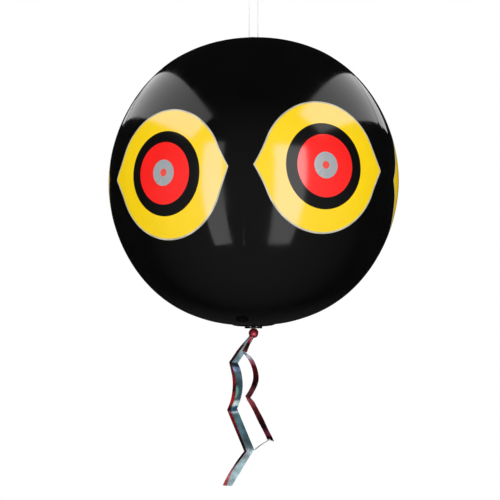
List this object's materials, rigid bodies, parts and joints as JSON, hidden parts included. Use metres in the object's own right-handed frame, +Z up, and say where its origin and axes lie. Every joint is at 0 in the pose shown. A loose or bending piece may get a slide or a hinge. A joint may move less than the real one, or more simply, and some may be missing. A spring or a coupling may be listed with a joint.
{
  "type": "bird scare balloon",
  "caption": "Black inflated vinyl ball with large printed predator eyes, hung from a cord loop, with a red and silver foil ribbon tied underneath.",
  "frame": {"origin": "the point inside the top bend of the cord loop where a hook bears", "axes": "+Z up along the hanging cord, +X to the right seen from the front, -Y towards the two eyes of the front"},
  "size_m": [0.402, 0.4019, 0.701],
  "materials": {
    "vinyl": "glossy black PVC film",
    "eye_print": "yellow, black and red print on silver foil",
    "cord": "white twisted polyester cord",
    "ribbon_foil": "metallised film, red outside and silver inside",
    "valve_vinyl": "soft moulded black vinyl"
  },
  "bodies": {
    "hanger": {"cord_top_bend": "cord", "cord_knot": "cord"},
    "cord": {"hang_cord": "cord"},
    "ball": {"gore_1": "vinyl", "gore_2": "vinyl", "gore_3": "vinyl", "gore_4": "vinyl", "gore_5": "vinyl", "gore_6": "vinyl", "eye_1": "eye_print", "eye_2": "eye_print", "eye_3": "eye_print", "eye_4": "eye_print", "eye_5": "eye_print", "eye_6": "eye_print", "top_patch": "vinyl", "bottom_patch": "vinyl", "top_strap": "vinyl", "bottom_strap": "vinyl", "valve_flange": "valve_vinyl"},
    "valve_stem": {"valve_stem": "valve_vinyl", "plug_tether": "valve_vinyl"},
    "valve_plug": {"valve_plug": "valve_vinyl"},
    "valve_flap": {"valve_flap": "valve_vinyl"},
    "ribbon_knot": {"ribbon_knot": "ribbon_foil"},
    "tail_left": {"ribbon_tail_left": "ribbon_foil"},
    "tail_right": {"ribbon_tail_right": "ribbon_foil"}
  },
  "joints": [
    {"name": "cord_twist", "type": "hinge", "parent": "hanger", "child": "cord", "pos_m": [0, 0, -0.017], "axis": [0, 0, 1], "range_deg": [-180, 180], "stiffness_Nm_per_rad": 0.0012},
    {"name": "ball_swing", "type": "hinge", "parent": "cord", "child": "ball", "pos_m": [0, 0, -0.078], "axis": [1, 0, 0], "range_deg": [-60, 60]},
    {"name": "valve_pull", "type": "slide", "parent": "ball", "child": "valve_stem", "axis": [-0.0671, -0.3897, -0.9185], "range_m": [0, 0.01]},
    {"name": "plug_pull", "type": "slide", "parent": "valve_stem", "child": "valve_plug", "axis": [-0.0671, -0.3897, -0.9185], "range_m": [0, 0.008]},
    {"name": "flap_hinge", "type": "hinge", "parent": "valve_stem", "child": "valve_flap", "pos_m": [-0.01463, -0.0847, -0.44265], "axis": [0.9855, -0.1697, 0], "range_deg": [0, 40]},
    {"name": "ribbon_swing", "type": "hinge", "parent": "ball", "child": "ribbon_knot", "pos_m": [0, 0, -0.4775], "axis": [1, 0, 0], "range_deg": [-60, 60]},
    {"name": "left_tail_bend", "type": "hinge", "parent": "ribbon_knot", "child": "tail_left", "pos_m": [0, 0, -0.48591], "axis": [0, 1, 0], "range_deg": [-35, 35], "stiffness_Nm_per_rad": 0.012},
    {"name": "right_tail_bend", "type": "hinge", "parent": "ribbon_knot", "child": "tail_right", "pos_m": [0, 0, -0.48591], "axis": [0, 1, 0], "range_deg": [-35, 35], "stiffness_Nm_per_rad": 0.012}
  ]
}
